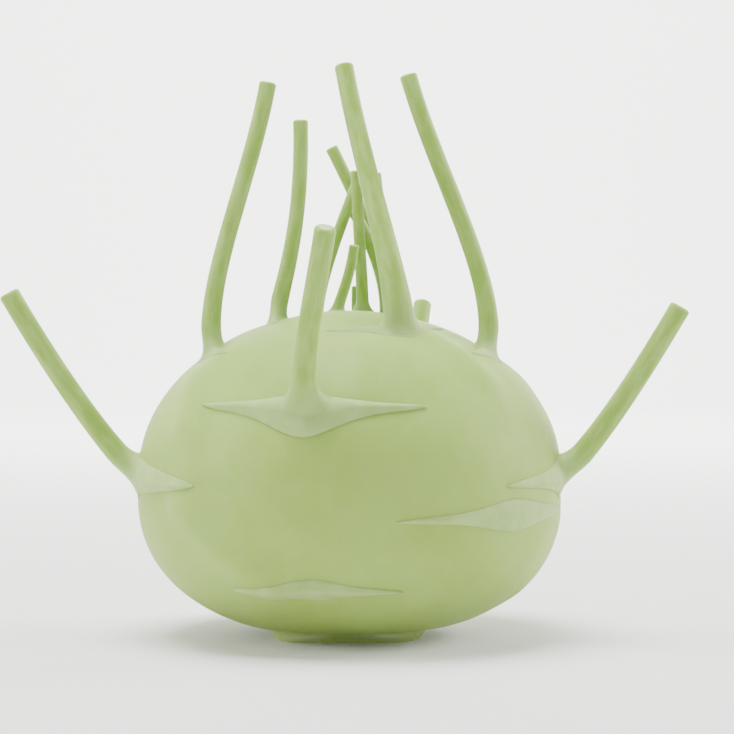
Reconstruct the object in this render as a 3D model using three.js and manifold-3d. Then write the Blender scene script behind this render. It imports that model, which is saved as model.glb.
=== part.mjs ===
/* A kohlrabi, trimmed for sale: the swollen stem (the bulb) on the stub of its root, and the stubs of
 * the leaf stalks that grow from it. Every stalk stands in a socket of the bulb.
 *
 * Millimetres, +Z up. The origin is the middle of the flat cut under the root stub. +Y is the back.
 * An azimuth is in degrees round the axis: 0 is the front (-Y) and 90 the right (+X). */
import * as THREE from "three";
import Module from "manifold-3d";

// ---- Driving dimensions -------------------------------------------------------------------------

/** The bulb: round above its waist, fuller below it, where the section is a squarer oval. */
const BULB = { radius: 50, waist: 37, above: 39.4, below: 36.8, powerAbove: 2, powerBelow: 2.5 };

/** The root stub: a squarish cone frustum, cut flat below, that the bulb sits on. */
const ROOT = { halfWidth: 16.2, topHalfWidth: 18.8, top: 3.2, squareness: 4 };

/** A leaf base clasps this half angle of the bulb, and stands this proud of the skin. Its outline is
 *  a band that tapers to its tips, this full, with a bulge in the middle. */
const CLASP = { halfAngle: 37, edge: 0.4, crown: 1, sunk: 1.5, full: 0.55, bulge: 0.34, tip: 0.03 };

/** A stalk: how deep its root goes, how far up its foot flares, how far up it is still thicker than
 *  its girth and by what share, the way between its rings, how much its cut edge is rounded, and the
 *  gap round it in its socket. */
const STALK = { sunk: 2.6, flareReach: 3.6, taperReach: 12, taper: 0.18, step: 9, rim: 0.35, gap: 0.3 };

/** How far the two handles of a stalk's curve reach, as shares of the straight way to its tip. */
const HANDLES = [0.24, 0.38];

/** How finely the skins are cut into facets. */
const FACETS = { bulbAround: 44, bulbRings: 20, rootAround: 24, claspStations: 8, stalkSides: 10 };

/* The leaves in growing order, oldest and lowest first. Each starts about two fifths of a turn from
 * the last one and a little higher. In a stalk,
 *   azimuth, height  where the leaf base sits on the bulb: degrees, and mm above the table
 *   start, end       its lean where it leaves the bulb and at its cut end: degrees from upright,
 *                    outward and to the side
 *   tip              where its cut end is: mm outward from the axis, to the side, and up
 *   girth            its diameter
 *   foot             how much wider its foot is, along the clasping leaf base and across it
 *   rise, drop       how far the leaf base spreads on the skin above and below the stalk
 *   halfAngle, taper, taperReach, handles   given where they differ from the rule above
 * A scar is a leaf base whose stalk has dropped off. */
const SCARS = [
  { azimuth: 128, height: 14, halfAngle: 27, rise: 3.0, drop: 3.0 },
  { azimuth: -9.8, height: 14.9, halfAngle: 26, rise: 3.3, drop: 3.0 },
  { azimuth: -150, height: 22, halfAngle: 30, rise: 3.2, drop: 3.6 },
  { azimuth: 48, height: 31, halfAngle: 36, rise: 3.6, drop: 4.0 },
];
const STALKS = [
  { azimuth: -84, height: 38, start: [45, 0], tip: [79.8, 0, 80.6], end: [30, 0], girth: 4.85,
    foot: [1.9, 1.5], rise: 4.6, drop: 4.6, halfAngle: 40 },
  { azimuth: 82, height: 38, start: [46, 0], tip: [77.4, 0, 77.4], end: [30, 0], girth: 4.9,
    foot: [1.9, 1.5], rise: 4.6, drop: 4.6 },
  { azimuth: 166, height: 40, start: [50, 0], tip: [77.8, 0, 78.4], end: [31, 0], girth: 4.6,
    foot: [1.9, 1.5], rise: 4.4, drop: 4.6 },
  { azimuth: -12.7, height: 56, start: [36, 0], tip: [58.6, 8.3, 94.2], end: [20, 14], girth: 4.7,
    foot: [2.1, 1.5], rise: 2.8, drop: 7.8, halfAngle: 35.8 },
  { azimuth: 80, height: 67, start: [12, 0], tip: [13.8, 0, 131.7], end: [-16, 0], girth: 4.05,
    foot: [1.9, 1.5], rise: 2.4, drop: 4.6, halfAngle: 22, taper: 0.3 },
  { azimuth: -80, height: 67, start: [11, 0], tip: [19.4, 0, 129.8], end: [-10.5, 0], girth: 4,
    foot: [1.9, 1.5], rise: 2.4, drop: 4.6, halfAngle: 22, taper: 0.3 },
  { azimuth: 158, height: 69.3, start: [4, 0], tip: [10.2, 9.1, 115.6], end: [-12, 25], girth: 3.0,
    foot: [1.8, 1.5], rise: 2.2, drop: 4.6 },
  { azimuth: -100, height: 73.9, start: [5, 0], tip: [11.9, 0, 121.4], end: [1.6, 0], girth: 3.5,
    foot: [1.9, 1.5], rise: 1.8, drop: 3, halfAngle: 30, taper: 0.3, handles: [0.12, 0.62] },
  { azimuth: 32, height: 72.4, start: [0, -6], tip: [-3, 0.1, 134.4], end: [-18.5, 0], girth: 4.4,
    foot: [1.6, 1.4], rise: 2.4, drop: 4.6, halfAngle: 46, taper: 0.75, taperReach: 18 },
  { azimuth: -154, height: 73.5, start: [6, -4], tip: [7.2, -6.2, 109], end: [-16, -16], girth: 2.65,
    foot: [1.7, 1.4], rise: 1.6, drop: 3.2 },
  { azimuth: 157, height: 72.8, start: [4, -13], tip: [12.4, 4.4, 100.2], end: [-14, 28], girth: 2.75,
    foot: [1.7, 1.4], rise: 1.6, drop: 3.2 },
  { azimuth: 145, height: 74, start: [6, 0], tip: [9.3, -0.8, 109.2], end: [-8, 2], girth: 2.7,
    foot: [1.7, 1.4], rise: 1.6, drop: 3.2 },
  { azimuth: 167, height: 75, start: [0, 0], tip: [6.2, 0, 109.7], end: [-8, 0], girth: 2.65,
    foot: [2, 1.4], rise: 1.2, drop: 2.2, taper: 0.2 },
  { azimuth: -146, height: 76.1, start: [-13, -20], tip: [2.8, -3.1, 91.9], end: [-13, 0], girth: 2.3,
    foot: [1.9, 1.5], rise: 0, drop: 0 },
  { azimuth: 175, height: 74, start: [0, 0], tip: [17, 0, 82.3], end: [2, 0], girth: 2.2,
    foot: [1.6, 1.4], rise: 0, drop: 0 },
];

// ---- Materials ----------------------------------------------------------------------------------

const skinGreen = new THREE.MeshStandardMaterial({ color: 0xa9bb7d, roughness: 0.55, metalness: 0 });
const stalkGreen = new THREE.MeshStandardMaterial({ color: 0xa4bb7c, roughness: 0.5, metalness: 0 });

// ---- The bulb's surface -------------------------------------------------------------------------

const radians = THREE.MathUtils.degToRad;

/** The way outward from the axis at an azimuth. */
const outward = (azimuth) =>
  new THREE.Vector3(Math.sin(radians(azimuth)), -Math.cos(radians(azimuth)), 0);

/** The way round the axis at an azimuth, towards larger azimuths. */
const sideways = (azimuth) =>
  new THREE.Vector3(Math.cos(radians(azimuth)), Math.sin(radians(azimuth)), 0);

/** How far the bulb's skin is from the middle of its waist, at an angle from straight up. */
function reach(fromTop) {
  const up = Math.cos(fromTop);
  const power = up > 0 ? BULB.powerAbove : BULB.powerBelow;
  const halfHeight = up > 0 ? BULB.above : BULB.below;
  const across = (Math.sin(fromTop) / BULB.radius) ** power;
  const along = (Math.abs(up) / halfHeight) ** power;
  return (across + along) ** (-1 / power);
}

/** A point of the skin, raised by some mm away from the middle of the waist. */
function skinPoint(fromTop, azimuth, raised = 0) {
  const away = reach(fromTop) + raised;
  const point = outward(azimuth).multiplyScalar(away * Math.sin(fromTop));
  point.z = BULB.waist + away * Math.cos(fromTop);
  return point;
}

/** The angle from straight up at which the skin has a given height, found by halving. */
function angleAtHeight(height) {
  let [low, high] = [0, Math.PI];
  for (let step = 0; step < 40; step++) {
    const middle = (low + high) / 2;
    if (skinPoint(middle, 0).z > height) low = middle;
    else high = middle;
  }
  return (low + high) / 2;
}

// ---- Closed skins -------------------------------------------------------------------------------

/** Closes rings of points into one skin: quads between the rings, and a fan over each end.
 *  The rings run anticlockwise about the way from the first ring to the last. */
function closedSkin(rings) {
  const count = rings[0].length;
  const middle = (ring) =>
    ring.reduce((sum, point) => sum.add(point), new THREE.Vector3()).divideScalar(count);
  const points = [...rings.flat(), middle(rings[0]), middle(rings.at(-1))];
  const [firstMiddle, lastMiddle] = [points.length - 2, points.length - 1];
  const lastRing = (rings.length - 1) * count;
  const faces = [];
  for (let i = 0; i < count; i++) {
    const next = (i + 1) % count;
    for (let ring = 0; ring < lastRing; ring += count) {
      faces.push(ring + i, ring + next, ring + count + next);
      faces.push(ring + i, ring + count + next, ring + count + i);
    }
    faces.push(firstMiddle, next, i);
    faces.push(lastMiddle, lastRing + i, lastRing + next);
  }
  const geometry = new THREE.BufferGeometry().setFromPoints(points);
  geometry.setIndex(faces);
  return geometry;
}

/** The bulb's own skin, in level rings from just off its bottom to just off its top. */
function bulbSkin() {
  const rings = [];
  for (let ring = 1; ring <= FACETS.bulbRings; ring++) {
    const fromTop = Math.PI * (1 - ring / (FACETS.bulbRings + 1));
    const azimuths = Array.from({ length: FACETS.bulbAround }, (_, i) => (i * 360) / FACETS.bulbAround);
    rings.push(azimuths.map((azimuth) => skinPoint(fromTop, azimuth)));
  }
  return closedSkin(rings);
}

/** The root stub: level rings between round and square, flat below, wider towards the bulb. */
function rootStub() {
  const ring = (halfWidth, height) =>
    Array.from({ length: FACETS.rootAround }, (_, i) => {
      const way = outward((i * 360) / FACETS.rootAround);
      const square = Math.abs(way.x) ** ROOT.squareness + Math.abs(way.y) ** ROOT.squareness;
      return way.multiplyScalar(halfWidth * square ** (-1 / ROOT.squareness)).setZ(height);
    });
  const bulging = (ROOT.halfWidth + 2 * ROOT.topHalfWidth) / 3;
  return closedSkin([
    ring(ROOT.halfWidth, 0),
    ring(bulging, ROOT.top / 3),
    ring(ROOT.topHalfWidth, ROOT.top),
    ring(ROOT.halfWidth, 2 * ROOT.top),
  ]);
}

/** The youngest stalks, at the top, have no clasping base yet. */
const clasps = (stalk) => stalk.rise > 0;

/** A leaf base: a lens that clasps the bulb, pointed at both ends and swelling out to its middle.
 *  It is lofted along its length through sections that are sunk into the skin. */
function leafBase({ azimuth, height, halfAngle = CLASP.halfAngle, rise, drop }) {
  const level = angleAtHeight(height);
  const perMm = 1 / reach(level);
  const stations = [];
  for (let station = 0; station <= FACETS.claspStations; station++) {
    const along = -1 + (2 * station) / FACETS.claspStations;
    const band = CLASP.full * (1 - Math.abs(along)) ** 0.6;
    const middle = (1 - CLASP.full) * Math.exp(-((along / CLASP.bulge) ** 2));
    const spread = Math.max(CLASP.tip, band + middle);
    const crown = CLASP.edge + (CLASP.crown - CLASP.edge) * spread;
    const edge = CLASP.edge * Math.min(1, spread * 3);
    const at = (mmUp, raised) =>
      skinPoint(level - mmUp * spread * perMm, azimuth + along * halfAngle, raised);
    stations.push([
      at(-drop, edge),
      at(-drop, -CLASP.sunk),
      at(rise, -CLASP.sunk),
      at(rise, edge),
      at(0, crown),
    ]);
  }
  return closedSkin(stations);
}

// ---- The stalks ---------------------------------------------------------------------------------

/** The middle line of a stalk: one smooth curve from the skin to its cut end. */
function stalkLine({ azimuth, height, start, tip, end, handles = HANDLES }) {
  const place = (out, side, up) =>
    outward(azimuth).multiplyScalar(out).addScaledVector(sideways(azimuth), side).setZ(up);
  const leaning = ([out, side]) =>
    place(Math.tan(radians(out)), Math.tan(radians(side)), 1).normalize();
  const foot = skinPoint(angleAtHeight(height), azimuth);
  const cutEnd = place(...tip);
  const span = foot.distanceTo(cutEnd);
  const footHandle = foot.clone().addScaledVector(leaning(start), handles[0] * span);
  const tipHandle = cutEnd.clone().addScaledVector(leaning(end), -handles[1] * span);
  return new THREE.CubicBezierCurve3(foot, footHandle, tipHandle, cutEnd);
}

/** A stalk from its sunk root to its cut end. Its foot is an oval that narrows to the round stalk.
 *  grown widens and deepens it all round, which gives the socket that it stands in. */
function stalkSkin(stalk, grown = 0) {
  const line = stalkLine(stalk);
  const length = line.getLength();
  const rootWay = line.getTangent(0);
  const across = sideways(stalk.azimuth);
  const ring = (mmUp, scale = 1) => {
    const share = Math.max(0, mmUp) / length;
    const centre = line.getPointAt(share);
    if (mmUp < 0) centre.addScaledVector(rootWay, mmUp);
    const tangent = line.getTangentAt(share);
    const side = across.clone().addScaledVector(tangent, -across.dot(tangent)).normalize();
    const front = tangent.clone().cross(side);
    const flare = Math.exp(-((Math.max(0, mmUp) / STALK.flareReach) ** 1.3));
    const fading = Math.exp(-Math.max(0, mmUp) / (stalk.taperReach ?? STALK.taperReach));
    const radius = (stalk.girth / 2) * (1 + (stalk.taper ?? STALK.taper) * fading);
    const half = (wider) => radius * (1 + (wider - 1) * flare) * scale + grown;
    return Array.from({ length: FACETS.stalkSides }, (_, i) => {
      const turn = (2 * Math.PI * (i + 0.5)) / FACETS.stalkSides;
      return centre
        .clone()
        .addScaledVector(side, half(stalk.foot[0]) * Math.cos(turn))
        .addScaledVector(front, half(stalk.foot[1]) * Math.sin(turn));
    });
  };
  const ringHeights = [0, 0.5, 1, 2, 3].map((reaches) => reaches * STALK.flareReach);
  const evenStart = ringHeights.at(-1);
  const steps = Math.round((length - evenStart) / STALK.step);
  for (let step = 1; step < steps; step++) {
    ringHeights.push(evenStart + ((length - evenStart) * step) / steps);
  }
  const rings = ringHeights.filter((mmUp) => mmUp < length - 1).map((mmUp) => ring(mmUp));
  rings.unshift(ring(-STALK.sunk - grown));
  rings.push(ring(length - STALK.rim), ring(length, 1 - STALK.rim / stalk.girth));
  return closedSkin(rings);
}

// ---- Joining and cutting ------------------------------------------------------------------------

const wasm = await Module();
wasm.setup();

/** A closed skin as a solid that can be joined and cut. */
function solid(geometry) {
  const vertProperties = new Float32Array(geometry.attributes.position.array);
  const triVerts = new Uint32Array(geometry.index.array);
  return new wasm.Manifold(new wasm.Mesh({ numProp: 3, vertProperties, triVerts }));
}

/** A solid as three.js geometry. */
function skinOf(body) {
  const mesh = body.getMesh();
  const geometry = new THREE.BufferGeometry();
  geometry.setAttribute("position", new THREE.BufferAttribute(mesh.vertProperties, 3));
  geometry.setIndex(new THREE.BufferAttribute(mesh.triVerts, 1));
  return geometry;
}

/** The bulb with its root stub, leaf bases and scars, and a socket for every stalk. The largest
 *  skin alone is kept, so a hollow that the joining seals is filled. */
function bulbWithSockets() {
  let body = solid(bulbSkin()).add(solid(rootStub()));
  for (const leaf of [...SCARS, ...STALKS.filter(clasps)]) body = body.add(solid(leafBase(leaf)));
  for (const stalk of STALKS) body = body.subtract(solid(stalkSkin(stalk, STALK.gap)));
  const [largest] = body.decompose().sort((one, other) => other.volume() - one.volume());
  return skinOf(largest);
}

// ---- The kohlrabi -------------------------------------------------------------------------------

function named(name, geometry, material) {
  geometry.computeVertexNormals();
  const mesh = new THREE.Mesh(geometry, material);
  mesh.name = name;
  return mesh;
}

const kohlrabi = new THREE.Group();
kohlrabi.add(named("bulb", bulbWithSockets(), skinGreen));
STALKS.forEach((stalk, index) => {
  const number = String(index + 1).padStart(2, "0");
  kohlrabi.add(named(`leaf_stalk_${number}`, stalkSkin(stalk), stalkGreen));
});

export default kohlrabi;
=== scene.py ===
# %% [markdown]
# A kohlrabi is not a root: it is a short stem that has swollen into a ball. Leaves grow from it in a
# slow spiral, two fifths of a turn apart. Each leaf clasps the ball with a pale, pointed base, and its
# stalk rises from the middle of that base. This one has been trimmed: the blades are cut off, so only
# the stubs of the stalks are left, and the oldest leaves have dropped and left their scars.
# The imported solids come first. They fix every size and place, and nothing here moves them.

import bpy
import numpy as np
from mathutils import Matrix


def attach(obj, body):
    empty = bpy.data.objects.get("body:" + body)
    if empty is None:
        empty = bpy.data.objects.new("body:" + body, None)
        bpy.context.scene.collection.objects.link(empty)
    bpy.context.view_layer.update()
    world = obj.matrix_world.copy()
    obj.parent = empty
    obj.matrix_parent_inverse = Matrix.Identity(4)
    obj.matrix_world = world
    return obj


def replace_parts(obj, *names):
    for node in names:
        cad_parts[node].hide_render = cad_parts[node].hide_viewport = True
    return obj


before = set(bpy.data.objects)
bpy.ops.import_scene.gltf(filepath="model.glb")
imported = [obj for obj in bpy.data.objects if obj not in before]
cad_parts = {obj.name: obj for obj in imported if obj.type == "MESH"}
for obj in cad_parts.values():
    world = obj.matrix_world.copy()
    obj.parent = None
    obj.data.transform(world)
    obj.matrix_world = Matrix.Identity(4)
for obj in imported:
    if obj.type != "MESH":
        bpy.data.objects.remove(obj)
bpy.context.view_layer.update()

MM = 0.001


# %% [markdown]
# Camera first, because every later choice is judged through it. A long lens from a little above the
# middle of the ball keeps upright stalks upright, and shows the top only as a thin ellipse.

# %% Camera
CAMERA_PLACE = (0.0040, -0.5895, 0.0777)
CAMERA_TILT = 1.42
SENSOR_WIDTH = 36.0
LENS = 122.6

camera = bpy.data.objects.new("camera", bpy.data.cameras.new("camera"))
bpy.context.scene.collection.objects.link(camera)
camera.data.sensor_width = SENSOR_WIDTH
camera.data.lens = LENS
camera.location = CAMERA_PLACE
camera.rotation_euler = (np.radians(90 - CAMERA_TILT), 0, 0)
bpy.context.scene.camera = camera
print("camera:", LENS, "mm lens,", round(-CAMERA_PLACE[1] / MM), "mm from the axis")

# %% [markdown]
# The shape of the ball is one formula. Seen from the middle of its waist, the skin is as far away as
# an oval that is round above the waist and a little squarer below it. All sizes here are in
# millimetres, because that is how a cook or a gardener would measure it; they become metres only when
# a mesh is made.

# %% The ball as a formula
WAIST = 37.0
RADIUS = 50.0
HALF_HEIGHT = {"above": 39.4, "below": 36.8}
SQUARENESS = {"above": 2.0, "below": 2.5}
SKIN_TABLE = 4001


def outward(azimuth):
    """The way out from the axis: (sin a, -cos a, 0). Azimuth 0 is the front and 90 the right."""
    angle = np.radians(np.asarray(azimuth, float))
    return np.stack([np.sin(angle), -np.cos(angle), np.zeros_like(angle)], axis=-1)


def sideways(azimuth):
    """The way round the axis: (cos a, sin a, 0)."""
    angle = np.radians(np.asarray(azimuth, float))
    return np.stack([np.cos(angle), np.sin(angle), np.zeros_like(angle)], axis=-1)


def reach(from_top):
    """How far the smooth skin is from the middle of the waist:
    ((sin t / radius)^p + (|cos t| / half height)^p)^(-1/p), with p and the half height of that half."""
    up = np.cos(from_top)
    half = np.where(up > 0, HALF_HEIGHT["above"], HALF_HEIGHT["below"])
    power = np.where(up > 0, SQUARENESS["above"], SQUARENESS["below"])
    across = (np.abs(np.sin(from_top)) / RADIUS) ** power
    return (across + (np.abs(up) / half) ** power) ** (-1 / power)


def on_skin(from_top, azimuth, raised=0.0):
    """The point at angle t from straight up: outward * away * sin t, at the height waist + away * cos t,
    where away is the reach of the skin plus how far the point is raised."""
    away = reach(from_top) + raised
    point = outward(azimuth) * (away * np.sin(from_top))[..., None]
    point[..., 2] = WAIST + away * np.cos(from_top)
    return point


def angles_of(points):
    """The angle from straight up and the azimuth at which points are seen from the waist's middle:
    atan2(mm from the axis, mm above the waist) and atan2(x, -y)."""
    x, y, up = points[..., 0], points[..., 1], points[..., 2] - WAIST
    return np.arctan2(np.hypot(x, y), up), np.degrees(np.arctan2(x, -y))


def level_at(height):
    """The angle from straight up at which the skin has a height, read off a fine table of the skin."""
    angles = np.linspace(0, np.pi, SKIN_TABLE)
    heights = WAIST + reach(angles) * np.cos(angles)
    return np.interp(height, heights[::-1], angles[::-1])


print("ball:", 2 * RADIUS, "mm across,", round(sum(HALF_HEIGHT.values()), 1), "mm high")

# %% [markdown]
# The leaves, oldest and lowest first, each in the place that it has in the solids. A scar is a leaf
# base whose stalk has gone. `azimuth` and `height` in mm say where the middle of a base lies. `half` is
# how many degrees of the ball each flank clasps, where it isn't CLASP_ANGLE. `rise` and `drop` are how
# far the edges lie above and below the middle line, in mm. `full` says how full the left and right
# flanks are: 1 tapers evenly to the tip, and less makes a flank hollow, so that it ends in a long thin
# point. `crest` is where the ridge runs: 0 is the middle line, -1 the lower edge and 1 the upper one.
# `ridge` is its height in mm where it isn't BASE_RIDGE. A `crisp` below 1 is a young base, with lower
# and softer edges.
# Stalks have more. `start` and `end` are their lean where they leave the ball and where they are cut, in
# degrees outwards and round the ball. `tip` is the middle of the cut, in mm outwards, round and up.
# `girth` is the thickness in mm, and `foot` how many times wider the foot is, round the ball and up it.
# `taper` is how much thicker a stalk starts, as a share, and `taper_reach` over how many mm that fades.
# `handles` say how long the curve keeps to its two leans, as shares of its span.

# %% The leaves
CLASP_ANGLE = 37.0
SCARS = [
    dict(azimuth=128, height=14, half=27, rise=3.0, drop=3.0, full=(0.7, 0.5)),
    dict(azimuth=-9.8, height=14.9, half=26, rise=3.3, drop=2.8, full=(0.85, 0.6), crest=0.25, ridge=1.8),
    dict(azimuth=-150, height=22, half=30, rise=3.2, drop=3.6, full=(0.5, 0.7)),
    dict(azimuth=48, height=31, half=36, rise=3.6, drop=4.0, full=(0.45, 0.6)),
]
STALKS = [
    dict(azimuth=-84, height=38, start=(45, 0), tip=(79.8, 0, 80.6), end=(30, 0), girth=4.85,
         foot=(1.9, 1.5), rise=4.6, drop=4.6, half=40, full=(0.6, 0.95), crest=-0.2, ridge=1.6),
    dict(azimuth=82, height=38, start=(46, 0), tip=(77.4, 0, 77.4), end=(30, 0), girth=4.9,
         foot=(1.9, 1.5), rise=4.6, drop=4.6, full=(0.6, 0.8), crest=-0.2),
    dict(azimuth=166, height=40, start=(50, 0), tip=(77.8, 0, 78.4), end=(31, 0), girth=4.6,
         foot=(1.9, 1.5), rise=4.4, drop=4.6, full=(0.7, 0.5), crest=-0.2),
    dict(azimuth=-12.7, height=56, start=(36, 0), tip=(58.6, 8.3, 94.2), end=(20, 14), girth=4.7,
         foot=(2.1, 1.5), rise=2.8, drop=7.8, half=35.8, full=(0.45, 0.42), crest=-0.25,
         ridge=2.2),
    dict(azimuth=80, height=67, start=(12, 0), tip=(13.8, 0, 131.7), end=(-16, 0), girth=4.05,
         foot=(1.9, 1.5), rise=2.4, drop=4.6, half=22, full=(0.5, 0.6), taper=0.3, crisp=0.3),
    dict(azimuth=-80, height=67, start=(11, 0), tip=(19.4, 0, 129.8), end=(-10.5, 0), girth=4.0,
         foot=(1.9, 1.5), rise=2.4, drop=4.6, half=22, full=(0.6, 0.5), taper=0.3, crisp=0.3),
    dict(azimuth=158, height=69.3, start=(4, 0), tip=(10.2, 9.1, 115.6), end=(-12, 25), girth=3.0,
         foot=(1.8, 1.5), rise=2.2, drop=4.6, full=(0.5, 0.6), crisp=0.3),
    dict(azimuth=-100, height=73.9, start=(5, 0), tip=(11.9, 0, 121.4), end=(1.6, 0), girth=3.5,
         foot=(2.3, 1.5), rise=1.8, drop=3.0, half=30, full=(0.6, 0.5), taper=0.3, handles=(0.12, 0.62),
         crisp=0.3),
    dict(azimuth=32, height=72.4, start=(0, -6), tip=(-3, 0.1, 134.4), end=(-18.5, 0), girth=4.4,
         foot=(2.1, 1.5), rise=2.4, drop=4.6, half=46, full=(0.6, 0.3), taper=0.75, taper_reach=18,
         crisp=0.2),
    dict(azimuth=-154, height=73.5, start=(6, -4), tip=(7.2, -6.2, 109), end=(-16, -16), girth=2.65,
         foot=(1.7, 1.4), rise=1.6, drop=3.2, full=(0.5, 0.6), crisp=0.3),
    dict(azimuth=157, height=72.8, start=(4, -13), tip=(12.4, 4.4, 100.2), end=(-14, 28), girth=2.75,
         foot=(1.7, 1.4), rise=1.6, drop=3.2, full=(0.6, 0.5), crisp=0.3),
    dict(azimuth=145, height=74, start=(6, 0), tip=(9.3, -0.8, 109.2), end=(-8, 2), girth=2.7,
         foot=(1.7, 1.4), rise=1.6, drop=3.2, full=(0.5, 0.6), crisp=0.3),
    dict(azimuth=167, height=75, start=(0, 0), tip=(6.2, 0, 109.7), end=(-8, 0), girth=2.65,
         foot=(2.5, 1.5), rise=1.2, drop=2.2, full=(0.6, 0.5), taper=0.2, crisp=0.3),
    dict(azimuth=-146, height=76.1, start=(-13, -20), tip=(2.8, -3.1, 91.9), end=(-13, 0), girth=2.3,
         foot=(1.9, 1.5), rise=0, drop=0),
    dict(azimuth=175, height=74, start=(0, 0), tip=(17, 0, 82.3), end=(2, 0), girth=2.2,
         foot=(1.6, 1.4), rise=0, drop=0),
]
BASES = [leaf for leaf in SCARS + STALKS if leaf["rise"] > 0]
print("leaves:", len(SCARS), "scars and", len(STALKS), "stalks, with", len(BASES), "bases in all")

# %% [markdown]
# A leaf base is a long lens that clasps the ball. Its outline is a thin band that tapers to both tips,
# with a bulge in the middle where the stalk was fed. Across it, the tissue stands a little proud of
# the skin and slopes up to a ridge that runs from tip to tip. The ridge is what catches the light.

# %% Leaf bases as a formula
BASE_EDGE = 0.22
BASE_RIDGE = 1.4
BULGE = 0.34
SAG = 0.5
TAPER_POWER = 0.6
CREASE_ROUNDING = 0.01
TINY = 0.001


def softened(share):
    """A share without its sign, rounded off near 0: sqrt(share^2 + crease rounding)."""
    return np.sqrt(share**2 + CREASE_ROUNDING)


def base_width(leaf, along):
    """How wide a leaf base is along it, as a share of its middle, where along is -1 and 1 at its tips:
    full * (1 - |a|)^taper power + (1 - full) * exp(-(a / bulge)^2)."""
    full = np.where(along < 0, *leaf["full"])
    taper = np.maximum(0, 1 - np.abs(along)) ** TAPER_POWER
    return full * taper + (1 - full) * np.exp(-((along / BULGE) ** 2)) * (taper > 0)


def base_place(leaf, from_top, azimuth):
    """Where on a leaf base a point of the ball is: along it (-1 to 1), and mm up from its middle line,
    which sags towards the tips by sag * a^2."""
    level = level_at(leaf["height"])
    turn = (azimuth - leaf["azimuth"] + 180) % 360 - 180
    along = turn / leaf.get("half", CLASP_ANGLE)
    return along, (level - from_top) * reach(level) + SAG * np.minimum(1, along**2)


def base_raise(leaf, along, across):
    """How far a base stands out of the skin: edge + (ridge - edge) * width^taper power * (1 - |off|),
    where off is -1 at the lower edge, 0 on the ridge and 1 at the upper edge. The ridge is a little
    rounded, and the edge of a young base is lower, because it is less crisp. The width is read a little
    beside the middle, so that no crease crosses the base there."""
    crest = leaf.get("crest", 0)
    off = (across - crest) / np.where(across > crest, 1 - crest, 1 + crest)
    edge = BASE_EDGE * leaf.get("crisp", 1)
    beside = np.where(along < 0, -1, 1) * softened(along)
    width = base_width(leaf, beside) ** TAPER_POWER
    return edge + (leaf.get("ridge", BASE_RIDGE) - edge) * width * (1 - softened(off))


def base_across(leaf, along, mm_up):
    """How far across a base a point is: its mm up, over the rise or the drop of the edge there."""
    to_edge = np.where(mm_up > 0, leaf["rise"], leaf["drop"]) * base_width(leaf, along)
    return mm_up / np.maximum(to_edge, TINY)


print("widest base:", round(max(leaf["rise"] + leaf["drop"] for leaf in BASES), 1), "mm from edge to edge")

# %% [markdown]
# The skin between the bases is never a perfect oval. It swells in slow waves, and soft ridges, left by
# the bundles of fibre that feed the leaves, cross it at a slant. It could be sculpted or be a noise, but
# ridges have to lie in set places, so each is a line between two places (azimuth, height) with a
# bell-shaped section. All of the relief is added up as one height above the oval.

# %% Waves and ridges
RIDGES = [
    dict(start=(-49, 33), end=(-23, 15), width=4.5, rise=1.6),
    dict(start=(-38, 35), end=(-12, 20), width=5.0, rise=-0.6),
    dict(start=(-47, 37.6), end=(-31, 36.4), width=1.9, rise=-0.45),
    dict(start=(-64, 62), end=(-52, 52), width=5.0, rise=0.8),
    dict(start=(-50, 60), end=(-40, 47), width=5.0, rise=-0.5),
    dict(start=(6, 70), end=(2, 59), width=4.0, rise=0.7),
    dict(start=(46, 71), end=(52, 60), width=4.5, rise=0.9),
    dict(start=(-60, 66), end=(-48, 50), width=6.0, rise=0.5),
    dict(start=(100, 60), end=(128, 34), width=6.5, rise=0.7),
    dict(start=(-120, 62), end=(-105, 44), width=6.0, rise=0.6),
    dict(start=(-172, 62), end=(-160, 48), width=5.5, rise=0.6),
    dict(start=(-110, 30), end=(-128, 12), width=5.0, rise=0.7),
    dict(start=(92, 26), end=(74, 12), width=5.0, rise=0.6),
    dict(start=(162, 30), end=(178, 12), width=5.5, rise=0.6),
]
WAVES = dict(seed=7, count=9, longest=90.0, shortest=34.0, height=0.07)


def waves(points):
    """Slow swelling: the sum of a few cosines of (way . point * 2 pi / length + start), at seeded ways."""
    draw = np.random.default_rng(WAVES["seed"])
    ways = draw.normal(size=(WAVES["count"], 3))
    ways /= np.linalg.norm(ways, axis=1, keepdims=True)
    lengths = draw.uniform(WAVES["shortest"], WAVES["longest"], WAVES["count"])
    starts = draw.uniform(0, 2 * np.pi, WAVES["count"])
    phase = points @ (ways * (2 * np.pi / lengths)[:, None]).T + starts
    return WAVES["height"] * np.cos(phase).sum(axis=-1)


def ridge(points, start, end, width, rise):
    """A soft ridge between two places of the skin: rise * exp(-(distance from the line / width)^2)."""
    first, last = (on_skin(level_at(height), azimuth) for azimuth, height in (start, end))
    way = last - first
    share = np.clip((points - first) @ way / (way @ way), 0, 1)
    distance = np.linalg.norm(points - first - share[..., None] * way, axis=-1)
    return rise * np.exp(-((distance / width) ** 2))


print("skin:", WAVES["count"], "waves and", len(RIDGES), "ridges")

# %% [markdown]
# Every base has pinched the ball round it while it grew. A wide, shallow saddle lies all round it, and
# a narrow groove lies along its edges, deepest under it, and runs on past both tips. Both fade out in
# a bell shape, so that they have no edge of their own.

# %% Saddles and grooves
GROOVE = dict(below=0.25, above=0.03, width=1.3, fade=10.0)
SADDLE = dict(depth=0.22, width=6.0, fade=5.0)
EDGE_BLEND = 1.6
THIN_EDGE = 0.3


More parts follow.
